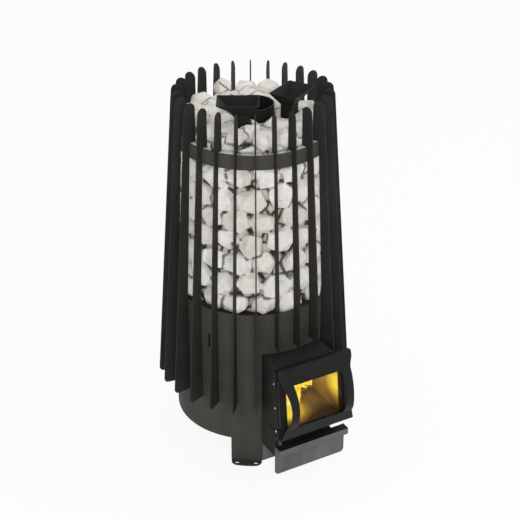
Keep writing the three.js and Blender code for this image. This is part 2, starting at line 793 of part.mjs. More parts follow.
function doorLeaf() {
  const half = glassOpeningWidth / 2;
  const shape = outline([
    [leafLeft, leafInset], [leafRight, leafInset], [leafRight, leafTop], [leafLeft, leafTop],
  ]);
  shape.holes.push(outline([
    [-half, glassOpeningBottom], [half, glassOpeningBottom], [half, glassOpeningTop], [-half, glassOpeningTop],
  ]));
  const bearing = half + glassBearing + seatGap;
  const rebate = slab(
    [-bearing, bearing],
    [leafBack - glassThickness - 2 * seatGap, leafBack + beyond],
    [glassOpeningBottom - glassBearing - seatGap, glassOpeningTop + glassBearing + seatGap],
  );
  const middle = leafBack - leafThickness / 2;
  let solid = facePlate(shape, leafBack, leafThickness).subtract(rebate);
  for (const bottom of earBottoms) {
    const heights = [bottom + hingeHeight - knuckleHeight, bottom + hingeHeight];
    const web = slab([pinX, leafLeft + seatGap], [pinY - hingeWeb / 2, pinY + hingeWeb / 2], heights);
    const depth = [middle - hingeWeb / 2, middle + hingeWeb / 2];
    const reach = slab([leafLeft - seatGap, leafLeft + hingeWeb], depth, heights);
    solid = solid.add(web).add(reach).add(hingeRod(knuckleRadius, heights));
  }
  solid = solid.subtract(hingeRod(pinBore, [-beyond, doorHeight + beyond]));
  return piece('door_leaf', solid, darkPaint);
}

function doorGlass() {
  const half = glassOpeningWidth / 2 + glassBearing;
  const heights = [glassOpeningBottom - glassBearing, glassOpeningTop + glassBearing];
  const back = leafBack - seatGap;
  return piece('door_glass', slab([-half, half], [back - glassThickness, back], heights), amberGlass);
}

function doorGasket() {
  const half = leafRight - gasketInset;
  const inner = half - gasketWidth;
  const shape = outline([[-half, gasketBottom], [half, gasketBottom], [half, gasketTop], [-half, gasketTop]]);
  shape.holes.push(outline([
    [-inner, gasketBottom + gasketWidth],
    [inner, gasketBottom + gasketWidth],
    [inner, gasketTop - gasketWidth],
    [-inner, gasketTop - gasketWidth],
  ]));
  return piece('door_gasket', facePlate(shape, -seatGap, leafGap - 2 * seatGap), ropeSeal);
}

function glassRetainer(name, bottom) {
  const back = leafBack + seatGap + retainerThickness;
  const half = retainerLength / 2;
  const heights = [bottom, bottom + retainerHeight];
  return piece(name, slab([-half, half], [back - retainerThickness, back], heights), bareSteel);
}

// The front sheet's outer side as (distance in front of the face, height) points, from the top down:
// a straight top band, a bow and a straight bottom band
function sheetProfile() {
  const edge = leafGap + leafThickness + seatGap + sheetThickness;
  const bowTop = new THREE.Vector2(edge + topBandRise, doorHeight - topBandHeight);
  const bowEnd = new THREE.Vector2(edge + bottomBandRise, bottomBandHeight);
  const crown = new THREE.Vector2(edge + bowDepth, bowMiddle);
  const points = [new THREE.Vector2(edge, doorHeight), ...arcThrough(bowTop, crown, bowEnd)];
  points.push(new THREE.Vector2(edge, 0));
  return points;
}

// Points on the circle through three points, from the first to the last
function arcThrough(first, middle, last) {
  const a = middle.clone().sub(first);
  const b = last.clone().sub(first);
  const cross = 2 * (a.x * b.y - a.y * b.x);
  const centre = new THREE.Vector2(
    (b.y * a.lengthSq() - a.y * b.lengthSq()) / cross,
    (a.x * b.lengthSq() - b.x * a.lengthSq()) / cross,
  ).add(first);
  const start = Math.atan2(first.y - centre.y, first.x - centre.x);
  const end = Math.atan2(last.y - centre.y, last.x - centre.x);
  const radius = centre.distanceTo(first);
  const points = [];
  for (let i = 0; i <= bowSteps; i += 1) {
    const angle = THREE.MathUtils.lerp(start, end, i / bowSteps);
    points.push(new THREE.Vector2(centre.x + radius * Math.cos(angle), centre.y + radius * Math.sin(angle)));
  }
  return points;
}

// A sheet's cross-section: a line of points and the same line one thickness behind it
function sheetSection(points, thickness) {
  const behind = points.map((point, i) => {
    const before = points[Math.max(i - 1, 0)];
    const after = points[Math.min(i + 1, points.length - 1)];
    const along = after.clone().sub(before).normalize();
    return new THREE.Vector2(point.x + along.y * thickness, point.y - along.x * thickness);
  });
  behind[0].y = points[0].y;
  behind[behind.length - 1].y = points[points.length - 1].y;
  return new THREE.Shape([...points, ...behind.reverse()]);
}

function doorFront() {
  const profile = sheetProfile();
  const reach = leafGap + leafThickness + bowDepth + sheetThickness + beyond;
  const window = crossSlab(
    windowWidth,
    [leafGap, reach],
    [bottomBandHeight + sheetThickness, doorHeight - topBandHeight - sheetThickness],
  );
  const chord = (scallopTop - scallopBottom) / 2;
  const scallopRadius = (chord ** 2 + scallopDepth ** 2) / (2 * scallopDepth);
  const scallopX = doorWidth / 2 - scallopDepth + scallopRadius;
  const disc = rod(scallopRadius, leafGap, reach, drumFacets).rotate([90, 0, 0]);
  let solid = sidePlate(sheetSection(profile, sheetThickness), doorWidth).subtract(window);
  for (const side of [-1, 1]) {
    solid = solid.subtract(disc.translate([side * scallopX, 0, (scallopBottom + scallopTop) / 2]));
  }
  return piece('door_front', solid, darkPaint);
}

function portalScrew(name, side, height) {
  const seat = portalWidth / 2;
  const tip = seat - portalWall;
  const dome = seat + seatGap + screwHeadHeight;
  const profile = [
    [0, tip], [screwShankRadius, tip], [screwShankRadius, seat + seatGap],
    [screwHeadRadius, seat + seatGap], [screwHeadRadius * 0.9, dome - screwHeadHeight / 3], [0, dome],
  ];
  const mesh = piece(name, turned(profile, smallFacets).rotate([0, side * 90, 0]), bareSteel);
  mesh.position.set(0, screwSetback, height);
  return mesh;
}

// Ash drawer

function ashDrawer() {
  const panelBack = ashMouth + drawerOpening;
  const panelFront = panelBack + drawerSheet;
  const half = drawerWidth / 2;
  const panelShape = roundedRectangle([-half, half], [drawerPanelBottom, drawerPanelTop], [drawerCorner, 0]);
  const lipWidth = drawerWidth - 2 * lipInset;
  const lipFront = panelFront + lipReach;
  const lip = crossSlab(lipWidth, [panelBack, lipFront], [drawerPanelTop - drawerSheet, drawerPanelTop]);
  const hem = crossSlab(lipWidth, [lipFront - drawerSheet, lipFront], [drawerPanelTop - hemHeight, drawerPanelTop]);
  const trayBottom = ashFloor + seatGap;
  const trayRear = panelFront - trayLength;
  const tray = crossSlab(trayWidth, [trayRear, panelBack + drawerSheet / 2], [trayBottom, trayTop]);
  const hollow = crossSlab(
    trayWidth - 2 * trayWall,
    [trayRear + trayWall, panelBack],
    [trayBottom + trayWall, trayTop + beyond],
  );
  const solid = facePlate(panelShape, -panelBack, drawerSheet).add(tray).subtract(hollow).add(lip).add(hem);
  return piece('ash_drawer', solid, drawerSteel);
}

// The whole stove

const portal = new THREE.Group();
portal.position.set(0, -portalFace, doorBottom);
portal.rotation.x = -lean;
portal.add(portalFrame(), doorLeaf(), doorGlass(), doorGasket(), doorFront());
portal.add(glassRetainer('glass_retainer_bottom', gasketBottom + gasketWidth + seatGap));
portal.add(glassRetainer('glass_retainer_top', gasketTop - gasketWidth - seatGap - retainerHeight));
for (const [word, side] of [['left', -1], ['right', 1]]) {
  for (let i = 0; i < screwCount; i += 1) {
    portal.add(portalScrew(`portal_screw_${word}_${i + 1}`, side, screwFirst + i * screwPitch));
  }
}

const body = new THREE.Group();
body.add(casing(), skirt(), basePlate(), fireboxShell(), hearthPlate(), grate(), roof(), flue());
body.add(foot('foot_front_left', -frontLegAngle), foot('foot_front_right', frontLegAngle));
body.add(foot('foot_rear_left', -rearLegAngle), foot('foot_rear_right', rearLegAngle));
body.add(...fins(), hoop(), stones());
body.add(funnel('steam_funnel_left', -1), funnel('steam_funnel_right', 1));
body.add(portalSleeve(), fuelChannel(), ashChannel(), ashDrawer(), portal);

// The stove's box is centred over the origin
const stove = new THREE.Group();
stove.add(body);
stove.updateMatrixWorld(true);
const reachBox = new THREE.Box3().setFromObject(stove, true);
body.position.y = -(reachBox.min.y + reachBox.max.y) / 2;

export default stove;
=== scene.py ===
# %% [markdown]
# A sauna stove, dressed for the studio.
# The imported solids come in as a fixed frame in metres, +Z up, with the door towards -Y.
# Everything made here is laid on that frame: the stones, the fire, the finishes, the light and the camera.

# %% Load the frame
import math

import bmesh
import bpy
import numpy as np
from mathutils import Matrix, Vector, noise
from mathutils.bvhtree import BVHTree
from mathutils.kdtree import KDTree


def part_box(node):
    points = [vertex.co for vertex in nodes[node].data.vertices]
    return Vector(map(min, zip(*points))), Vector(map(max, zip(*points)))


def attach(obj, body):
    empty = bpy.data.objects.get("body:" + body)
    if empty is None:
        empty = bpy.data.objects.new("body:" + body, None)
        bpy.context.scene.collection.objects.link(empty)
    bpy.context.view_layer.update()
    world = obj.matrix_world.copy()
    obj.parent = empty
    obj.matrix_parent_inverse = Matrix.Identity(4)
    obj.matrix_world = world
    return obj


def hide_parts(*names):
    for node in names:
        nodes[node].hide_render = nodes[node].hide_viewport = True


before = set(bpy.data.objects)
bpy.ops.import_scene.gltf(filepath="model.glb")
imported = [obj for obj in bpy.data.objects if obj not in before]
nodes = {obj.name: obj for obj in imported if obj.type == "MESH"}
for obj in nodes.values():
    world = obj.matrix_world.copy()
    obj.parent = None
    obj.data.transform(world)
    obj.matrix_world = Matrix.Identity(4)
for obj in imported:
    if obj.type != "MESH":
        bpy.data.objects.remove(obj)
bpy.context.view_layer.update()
flue_low, flue_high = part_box("flue_pipe")
axis_y = (flue_low.y + flue_high.y) / 2
print("nodes", len(nodes), "stove axis at y", round(axis_y, 4))

# %% [markdown]
# The camera stands where the photograph was taken from. It was found by fitting the rims of the casing,
# the hoop and the flue, so it is given as a place relative to the stove's upright axis, a heading and a dip.
# A long lens from almost four metres keeps the fins almost parallel, as the photograph shows them.

# %% Camera
camera_place = Vector((-1.5784, axis_y - 2.7958, 2.2889))
camera_heading = Vector((0.4968, 0.8678))
camera_dip = math.radians(28.59)


def add_to_scene(thing):
    bpy.context.scene.collection.objects.link(thing)


def aim(thing, direction):
    thing.rotation_euler = direction.to_track_quat("-Z", "Y").to_euler()


camera = bpy.data.objects.new("camera", bpy.data.cameras.new("camera"))
camera.data.sensor_width = 36
camera.data.lens = 89.22
look = Vector((*(camera_heading * math.cos(camera_dip)), -math.sin(camera_dip)))
camera.location = camera_place
aim(camera, look)
add_to_scene(camera)
bpy.context.scene.camera = camera
print("camera", [round(c, 3) for c in camera.location])

# %% [markdown]
# Finishes are node trees. Writing them node by node hides the idea, so a small class wraps a socket and
# turns plus, minus, times, less, more and abs into Math nodes. Masks are made again and again, so two methods
# serve them: one stretches a range of values to another, and one draws thin lines where a noise crosses 0.5.

# %% Sockets as numbers
class Value:
    def __init__(self, finish, socket):
        self.finish = finish
        self.socket = socket

    def math(self, operation, other=0.0, swapped=False):
        pair = (other, self) if swapped else (self, other)
        return self.finish.node("ShaderNodeMath", {"operation": operation}, {0: pair[0], 1: pair[1]})

    def __add__(self, other):
        return self.math("ADD", other)

    def __radd__(self, other):
        return self.math("ADD", other, True)

    def __sub__(self, other):
        return self.math("SUBTRACT", other)

    def __rsub__(self, other):
        return self.math("SUBTRACT", other, True)

    def __mul__(self, other):
        return self.math("MULTIPLY", other)

    def __rmul__(self, other):
        return self.math("MULTIPLY", other, True)

    def __lt__(self, other):
        return self.math("LESS_THAN", other)

    def __gt__(self, other):
        return self.math("GREATER_THAN", other)

    def __abs__(self):
        return self.math("ABSOLUTE")

    def clamped(self, low, high, to_low=0.0, to_high=1.0):
        sockets = {"Value": self, 1: low, 2: high, 3: to_low, 4: to_high}
        return self.finish.node("ShaderNodeMapRange", {"clamp": True}, sockets)

    def middle_line(self, sharpness):
        return (1.0 - abs(self - 0.5) * sharpness).clamped(0.0, 1.0)


print("sockets can be added, compared and stretched")

# %% [markdown]
# A finish owns one node tree, of a material or of the world. Any node comes from one method, which sets the
# node's settings first and then its sockets, from numbers, colours or other sockets. The other methods name
# the nodes that this stove needs often: noise, a blend of two colours, a ramp, a bump, and distances.

# %% Finishes as node trees
class Finish:
    def __init__(self, name, owner=None):
        self.owner = owner or bpy.data.materials.new(name)
        self.owner.use_nodes = True
        self.tree = self.owner.node_tree
        self.tree.nodes.clear()
        self.place = None

    def node(self, kind, settings=None, sockets=None, out=0):
        made = self.tree.nodes.new(kind)
        for key, value in (settings or {}).items():
            if key == "stops":
                fill_ramp(made.color_ramp, value)
            else:
                setattr(made, key, value)
        for key, value in (sockets or {}).items():
            target = made.inputs[key]
            if isinstance(value, Value):
                self.tree.links.new(value.socket, target)
            elif target.type == "RGBA":
                target.default_value = (*value, 1.0)
            else:
                target.default_value = value
        return Value(self, made.outputs[out]) if made.outputs else None

    def where(self):
        if self.place is None:
            self.place = self.node("ShaderNodeTexCoord", out="Object")
        return self.place

    def along(self, axis):
        return self.node("ShaderNodeSeparateXYZ", None, {0: self.where()}, axis)

    def away_from(self, point):
        settings = {"operation": "DISTANCE"}
        return self.node("ShaderNodeVectorMath", settings, {0: self.where(), 1: point}, "Value")

    def stretched(self, scale):
        return self.node("ShaderNodeMapping", None, {"Vector": self.where(), "Scale": scale})

    def noise(self, scale, detail=3.0, rough=0.55, place=None):
        sockets = {"Vector": place or self.where(), "Scale": scale, "Detail": detail, "Roughness": rough}
        return self.node("ShaderNodeTexNoise", None, sockets)

    def kept_number(self, name):
        return self.node("ShaderNodeAttribute", {"attribute_name": name}, None, "Fac")

    def blend(self, share, first, second):
        return self.node("ShaderNodeMix", {"data_type": "RGBA"}, {0: share, 6: first, 7: second}, 2)

    def ramp(self, value, stops):
        return self.node("ShaderNodeValToRGB", {"stops": stops}, {0: value})

    def bump(self, height, strength, distance=0.001):
        sockets = {"Height": height, "Strength": strength, "Distance": distance}
        return self.node("ShaderNodeBump", None, sockets)

    def seen_directly(self):
        names = ("Is Camera Ray", "Is Glossy Ray", "Is Transmission Ray")
        rays = [self.node("ShaderNodeLightPath", None, None, name) for name in names]
        return (rays[0] + rays[1] + rays[2]).clamped(0.0, 1.0)

    def surface(self, **sockets):
        named = {key.replace("_", " ").title(): value for key, value in sockets.items()}
        named = {key.replace("Ior", "IOR"): value for key, value in named.items()}
        self.finish_with(self.node("ShaderNodeBsdfPrincipled", None, named))
        return self.owner

    def finish_with(self, shader, kind="Material"):
        self.node(f"ShaderNodeOutput{kind}", None, {"Surface": shader})


def fill_ramp(ramp, stops):
    while len(ramp.elements) < len(stops):
        ramp.elements.new(1.0)
    for element, (position, colour) in zip(ramp.elements, stops):
        element.position = position
        element.color = (*colour, 1.0)


print("finishes can be written")

# %% [markdown]
# The stove is painted with a matt heat-proof paint: almost black, faintly warm, with a very fine grain.
# Broad noise makes the colour drift a little, as sprayed paint does, fine noise gives the grain its sparkle,
# and stretched noise adds faint upright wipe marks. The paint hardly mirrors, so its shine is set low.

# %% Heat-proof paint
black = (0.010, 0.010, 0.010)


def shade(colour, factor):
    return tuple(channel * factor for channel in colour)


def heat_paint(name, colour, roughness, shine=0.1, grain=0.25, painted_shade_above=None):
    finish = Finish(name)
    drift = finish.noise(7.0, 4.0)
    wipes = finish.noise(3.0, 3.0, 0.6, finish.stretched((9.0, 9.0, 0.9)))
    speck = finish.noise(650.0, 2.0, 0.7)
    patches = (drift * 0.6 + wipes * 0.4).clamped(0.30, 0.70)
    base = finish.blend(patches, shade(colour, 0.72), shade(colour, 1.30))
    base = finish.blend(speck.clamped(0.60, 0.78, 0.0, 0.5), base, shade(colour, 1.9))
    # Above the given height the colour turns black: painted shade on a top face.
    if painted_shade_above is not None:
        base = finish.blend(finish.along("Z") > painted_shade_above, base, black)
    rough = (drift * 0.5 + speck * 0.5).clamped(0.3, 0.7, roughness - 0.07, roughness + 0.07)
    relief = finish.bump(finish.noise(1400.0, 1.0), grain, 0.0002)
    return finish.surface(base_color=base, roughness=rough, normal=relief, specular_ior_level=shine)


print("paint recipe ready")

# %% [markdown]
# The same recipe serves the casing, the fins, the door, the portal, the skirt and the drawer, each with its
# own colour. These colours carry painted light and shade: the fins, the door and the portal are painted
# darker as painted shade, and the skirt and the drawer lighter as a painted reflection of the floor. The
# drawer's lip is painted black on top as painted shade, so its paint turns black just below the drawer's top.

# %% Paints of this stove
# From this level up the drawer's lip is painted black, as painted shade on its top face.
lip_skin = 0.0008
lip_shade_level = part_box("ash_drawer")[1].z - lip_skin
# Painted light and shade: one black paint, darker on the fins, door and portal, lighter on the skirt and
# drawer.
casing_paint = heat_paint("casing_paint", (0.053, 0.0503, 0.0443), 0.62)
fin_paint = heat_paint("fin_paint", (0.026, 0.0255, 0.0235), 0.62)
door_paint = heat_paint("door_paint", (0.0125, 0.0125, 0.0118), 0.5)
portal_paint = heat_paint("portal_paint", (0.026, 0.026, 0.0245), 0.6, 0.05)
skirt_paint = heat_paint("skirt_paint", (0.145, 0.148, 0.146), 0.55, 0.2)
drawer_paint = heat_paint("drawer_paint", (0.100, 0.104, 0.109), 0.5, 0.15, 0.2, lip_shade_level)
print("paints made, drawer black above", round(lip_shade_level, 4))

# %% [markdown]
# Bare steel shows on the screws: bright metal with fine turning marks, slightly stained. The heads are too
# small in the picture for marks in the mesh, so two sizes of noise stand for the marks and the stains.

# %% Steel
def bare_steel():
    finish = Finish("bare_steel")
    marks = finish.noise(900.0, 2.0, 0.6)
    stain = finish.noise(120.0)
    base = finish.blend(stain, (0.62, 0.60, 0.57), (0.82, 0.80, 0.77))
    rough = marks.clamped(0.3, 0.7, 0.22, 0.40)
    relief = finish.bump(marks, 0.15, 0.0002)
    return finish.surface(base_color=base, metallic=1.0, roughness=rough, normal=relief)


steel = bare_steel()
print("steel made")

# %% [markdown]
# The seal behind the door is a woven glass-fibre rope, so two crossed waves stand for its plaits. They colour
# the rope and also lift it, pale on the strands and dark between them, where the dark is painted shade.

# %% Rope seal
def rope_seal():
    finish = Finish("rope_seal")
    strands = []
    for direction in ("X", "Z"):
        settings = {"wave_type": "BANDS", "bands_direction": direction}
        sockets = {"Vector": finish.where(), "Scale": 120.0}
        strands.append(finish.node("ShaderNodeTexWave", settings, sockets, 1))
    plait = strands[0] * strands[1]
    # Dark between the strands is painted shade in the grooves of the plait.
    base = finish.blend(plait, (0.16, 0.14, 0.11), (0.52, 0.49, 0.42))
    return finish.surface(base_color=base, roughness=0.95, normal=finish.bump(plait, 0.8))


rope = rope_seal()
print("rope made")

# %% [markdown]
# Inside, the firebox and its channel are rough iron, sooty and lit by the fire. The light of a real fire
# fills the whole chamber, and here it is painted onto the iron as a glow: painted light in warm spots, each
# fading with the distance from its middle: the fire itself, the embers on the floor to the left and the wall
# beside the door. The channel's floor gets less of it, as painted shade. The distances come from the object's
# own coordinates, so they stay put from every side. Only inner faces get the painted light: what parts them
# from the outer ones lies half way through the channel's walls and its floor.

# %% Fire-lit iron
channel_wall_middle = 0.0851
channel_floor_middle = 0.1905
just_above_floor = 0.1935
floor_shade = 0.14
# Painted pools of firelight on the iron: middle, inner and outer reach, strength.
firelight_pools = [
    ((0.010, axis_y - 0.215, 0.235), 0.03, 0.14, 0.45),
    ((-0.048, axis_y - 0.262, 0.200), 0.020, 0.080, 1.15),
    ((0.084, axis_y - 0.326, 0.281), 0.002, 0.072, 1.10),
    ((0.084, axis_y - 0.262, 0.285), 0.03, 0.12, 0.22),
]


def fire_iron():
    finish = Finish("fire_iron")
    soot_and_light_drift = finish.noise(22.0, 5.0, 0.62)
    pits = finish.noise(180.0)
    base = finish.blend(soot_and_light_drift.clamped(0.35, 0.65), (0.018, 0.014, 0.009), (0.075, 0.048, 0.022))
    level = finish.along("Z")
    # Painted firelight, lowered on the channel's floor as painted shade.
    painted_firelight = (soot_and_light_drift - 0.5) * 0.25 - (level < just_above_floor) * floor_shade
    for middle, near, far, strength in firelight_pools:
        painted_firelight = painted_firelight + finish.away_from(middle).clamped(near, far, strength, 0.0)
    inside = (abs(finish.along("X")) < channel_wall_middle) * (level > channel_floor_middle)
    firelight_colour = finish.ramp(painted_firelight * inside, [
        (0.0, (0.0, 0.0, 0.0)), (0.12, (0.05, 0.028, 0.006)), (0.45, (0.26, 0.138, 0.016)),
        (0.75, (0.72, 0.43, 0.030)), (1.0, (1.0, 0.76, 0.06)),
    ])
    relief = finish.bump(pits, 0.4)
    return finish.surface(
        base_color=base, roughness=0.75, normal=relief, emission_color=firelight_colour, emission_strength=1.0,
    )


iron = fire_iron()
print("iron made, warm spots", len(firelight_pools))

# %% [markdown]
# The door glass is a clear heat-proof pane that takes its amber from the fire behind it. It is thin and
# flat, so partial Alpha does the work of real refraction: it keeps the flames sharp and the render quiet.
# A faint smoke film lies on it in clouds.

# %% Door glass
def door_glass():
    finish = Finish("amber_glass")
    film = finish.noise(30.0, 4.0).clamped(0.35, 0.75, 0.05, 0.13)
    return finish.surface(base_color=(0.20, 0.10, 0.03), roughness=0.06, alpha=film, ior=1.47)


glass = door_glass()
print("glass made")

# %% [markdown]
# Each CAD node keeps its shape and gets its finish here, by a word in the name of the piece. The first line
# that fits is taken, and what no line names is painted as the casing is.

# %% Dress the solids
words_by_finish = [
    (fin_paint, ("fin_",)),
    (steel, ("screw",)),
    (rope, ("gasket",)),
    (glass, ("door_glass",)),
    (portal_paint, ("sleeve",)),
    (door_paint, ("door_", "portal_", "retainer", "funnel", "flue")),
    (drawer_paint, ("ash_drawer",)),
    (skirt_paint, ("skirt",)),
    (iron, ("firebox_shell", "hearth", "grate", "fuel_channel")),
]


def finish_for(name):
    for finish, words in words_by_finish:
        if any(word in name for word in words):
            return finish
    return casing_paint


for name, node in nodes.items():
    node.data.materials.clear()
    node.data.materials.append(finish_for(name))
print("dressed", len(nodes), "solids")

# %% [markdown]
# Pieces that are made here, and not in CAD, all start in the same way: an object for the mesh, a finish, and
# the body that carries them, so that they move with it.

# %% Add a piece
def add_piece(name, mesh, body, finish):
    piece = bpy.data.objects.new(name, mesh)
    add_to_scene(piece)
    mesh.materials.append(finish)
    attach(piece, body)
    return piece


print("pieces can be added")

# %% [markdown]
# Sauna stones are split and tumbled rock: flat faces with worn edges. The solid already holds every rock as
# a sharp-edged lump, so the stones are made from it. First each rock gets a number: from face to face, over
# every edge that stands out, one stays on the same rock, and an edge that is a groove ends it.

# %% Number the rocks
groove_angle = -0.03
weld_distance = 1e-6
solid_stones = bmesh.new()
solid_stones.from_mesh(nodes["stone_fill"].data)
solid_stones.transform(nodes["stone_fill"].matrix_world)
bmesh.ops.remove_doubles(solid_stones, verts=solid_stones.verts, dist=weld_distance)
solid_stones.faces.ensure_lookup_table()


def rock_numbers(solid):
    number = [-1] * len(solid.faces)
    rocks = 0
    for first in solid.faces:
        if number[first.index] >= 0:
            continue
        number[first.index] = rocks
        ahead = [first]
        while ahead:
            for edge in ahead.pop().edges:
                if edge.calc_face_angle_signed(0.0) < groove_angle:
                    continue
                for face in edge.link_faces:
                    if number[face.index] < 0:
                        number[face.index] = rocks
                        ahead.append(face)
        rocks += 1
    return np.array(number), rocks


numbers, rock_count = rock_numbers(solid_stones)
print("faces", len(numbers), "rocks and grooves", rock_count)

# %% [markdown]
# Then the lumps are wrapped in a fine, even mesh, as if cloth were pulled over them, and smoothing wears the
# edges. Blender's voxel remesh does the wrapping: it also closes what is hidden between the rocks.

# %% Wear the edges
mesh_grain = 0.0026
wear_rounds = 12


def worn_mesh(solid, grain, rounds):
    sharp = bpy.data.meshes.new("sharp_stones")
    solid.to_mesh(sharp)
    carrier = bpy.data.objects.new("sharp_stones", sharp)
    add_to_scene(carrier)
    wrap = carrier.modifiers.new("wrap", "REMESH")
    wrap.mode = "VOXEL"
    wrap.voxel_size = grain
    wear = carrier.modifiers.new("wear", "SMOOTH")
    wear.factor = 0.5
    wear.iterations = rounds
    shaped = carrier.evaluated_get(bpy.context.evaluated_depsgraph_get())
    mesh = bpy.data.meshes.new_from_object(shaped)
    bpy.data.objects.remove(carrier)
    return mesh


stone_shape = worn_mesh(solid_stones, mesh_grain, wear_rounds)
stone_shape.name = "stones"
count = len(stone_shape.vertices)
points = np.empty(count * 3, np.float32)
stone_shape.vertices.foreach_get("co", points)
points = points.reshape(-1, 3)
print("stone points", count)

# %% [markdown]
# Two sizes of noise push the surface in and out by about a millimetre, so that the faces look broken rather
# than cut. The top of the heap is also tilted by a few millimetres: lower at the back, higher in front.

# %% Break the faces
broad_waves, broad_height = 34, 0.0016
narrow_waves, narrow_height = 95, 0.0007
worn_away = 0.0006
tilt_from, tilt_over = 0.955, 0.03
tilt_slope, tilt_least, tilt_most = 0.06, -0.006, 0.007

outward = np.array([normal.vector for normal in stone_shape.vertex_normals], np.float32)
broad = np.array([noise.noise(Vector(point) * broad_waves) for point in points])
narrow = np.array([noise.noise(Vector(point) * narrow_waves) for point in points])
push = broad * broad_height + narrow * narrow_height - worn_away
rough_points = points + outward * push[:, None]
in_heap = np.clip((points[:, 2] - tilt_from) / tilt_over, 0, 1)
lowered = in_heap * np.clip((points[:, 1] - axis_y) * tilt_slope, tilt_least, tilt_most)
rough_points[:, 2] -= lowered
stone_shape.vertices.foreach_set("co", rough_points.astype(np.float32).ravel())
stone_shape.polygons.foreach_set("use_smooth", [True] * len(stone_shape.polygons))
print("pushed by up to", round(float(np.abs(push).max()), 4), "lowered by", round(float(lowered.max()), 4))

# %% [markdown]
# Where two rocks touch, a thin dark line of painted shade parts them. These lines are the deep grooves of
# the solid, so points are strewn along them, and a search tree tells how far each stone point lies from one.

# %% Joints between the rocks
deep_groove_angle = -0.5
groove_spacing = 0.002


def groove_points(solid):
    strewn = []
    for edge in solid.edges:
        if edge.calc_face_angle_signed(0.0) < deep_groove_angle:
            start, end = (corner.co for corner in edge.verts)
            steps = max(1, round((end - start).length / groove_spacing))
            strewn += [start.lerp(end, step / steps) for step in range(steps + 1)]
    return strewn


strewn = groove_points(solid_stones)
grooves = KDTree(len(strewn))
for place, point in enumerate(strewn):
    grooves.insert(point, place)
grooves.balance()
joint = np.array([grooves.find(Vector(point))[2] for point in points])
print("groove points", len(strewn), "middle distance", round(float(np.median(joint)), 4))

# %% [markdown]
# Two more numbers are kept for every point. The tint is the rock's own, so that no two neighbours have quite
# the same colour. The depth tells how far the point lies behind the stones' outer face: the cage's wall,
# which leans in from the casing to the hoop, or the sloping top of the heap. Joints are thinner in the heap.

# %% Tint and depth
wall_at_casing, wall_at_hoop, wall_of_heap = 0.2214, 0.2029, 0.186
heap_height, heap_slope = 1.010, 0.12
thinner_in_heap = 0.0016
casing_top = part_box("drum_casing")[1].z
hoop_low, hoop_high = (corner.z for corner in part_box("hoop_band"))

draw = np.random.default_rng(26)
tints = draw.uniform(size=rock_count)
lumps = BVHTree.FromBMesh(solid_stones)
nearest = np.array([lumps.find_nearest(Vector(point))[2] for point in points])
away = np.hypot(points[:, 0], points[:, 1] - axis_y)
share = np.clip((points[:, 2] - casing_top) / (hoop_low - casing_top), 0, 1)
cage_wall = wall_at_casing + (wall_at_hoop - wall_at_casing) * share
above_hoop = points[:, 2] > hoop_high
wall = np.where(above_hoop, wall_of_heap, cage_wall)
heap_top = heap_height + heap_slope * (points[:, 1] - axis_y)
depth = np.minimum(wall - away, heap_top - points[:, 2])
joint = joint + np.where(above_hoop, thinner_in_heap, 0.0)
for name, values in (("tint", tints[numbers[nearest]]), ("depth", depth), ("joint", joint)):
    attribute = stone_shape.attributes.new(name, "FLOAT", "POINT")
    attribute.data.foreach_set("value", values.astype(np.float32))
solid_stones.free()
print("depth up to", round(float(depth.max()), 3))

# %% [markdown]
# The rock itself is a pale, warm olivine-like stone: light faces with drifts of tan, a few thin veins, and a
# scatter of dark grains and pits. The joints are dark with painted shade. Deep in the gaps, where no rock
# lies,
# the colour turns to painted shade: smaller stones painted darker than the rocks in front, with near-black
# lines between them.

# %% Pale stone
def pale_stone():
    finish = Finish("pale_stone")
    tint, sunk, parted = (finish.kept_number(name) for name in ("tint", "depth", "joint"))
    cloud = finish.noise(26.0, 5.0, 0.6)
    grain = finish.noise(260.0, 4.0, 0.65)
    pits = finish.noise(90.0, 3.0, 0.6)
    veins = finish.noise(15.0, 6.0, 0.7)
    base = finish.blend(tint, (0.80, 0.765, 0.700), (0.92, 0.91, 0.875))
    base = finish.blend(cloud.clamped(0.46, 0.78, 0.0, 0.5), base, (0.74, 0.665, 0.570))
    base = finish.blend(veins.middle_line(24.0) * 0.22, base, (0.54, 0.49, 0.42))
    base = finish.blend(grain.clamped(0.60, 0.76, 0.0, 0.45), base, (0.46, 0.43, 0.38))
    base = finish.blend(pits.clamped(0.60, 0.70, 0.0, 0.40), base, (0.47, 0.44, 0.39))
    # Painted shade: a thin dark line along each joint where rocks touch.
    joint_shade = (parted + (cloud - 0.5) * 0.004).clamped(0.0027, 0.0066, 0.82, 0.0)
    base = finish.blend(joint_shade, base, (0.045, 0.040, 0.034))
    # Painted shade deep in the gaps: darker painted stones with near-black lines between them.
    cells = {"Vector": finish.where(), "Scale": 30.0}
    painted_cells_behind = finish.node("ShaderNodeTexVoronoi", {"feature": "DISTANCE_TO_EDGE"}, cells)
    painted_shade_behind = finish.blend(painted_cells_behind.clamped(0.06, 0.20), (0.016, 0.014, 0.011), (0.58, 0.545, 0.485))
    base = finish.blend((sunk + (cloud - 0.5) * 0.006).clamped(0.0235, 0.0325), base, painted_shade_behind)
    rough = cloud.clamped(0.3, 0.7, 0.78, 0.95)
    relief = finish.bump(cloud * 0.4 + grain * 0.4 - pits * 0.4, 0.45, 0.003)
    return finish.surface(base_color=base, roughness=rough, normal=relief, specular_ior_level=0.3)


stones = add_piece("stones", stone_shape, "stove", pale_stone())
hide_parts("stone_fill")
print("stone faces", len(stones.data.polygons))

# %% [markdown]
# The fire is burning in the photograph, and logs lie on the grate. A log is a knobbly rod with cut ends:
# rings of points along its length, pushed in or out by a broad noise for knobs and a narrow one for bark.

# %% Log shape
log_rings, log_corners = 18, 20
knob_share, knob_waves, knob_step = 0.20, 1.4, 0.25
bark_share, bark_waves, bark_step = 0.10, 5, 0.9


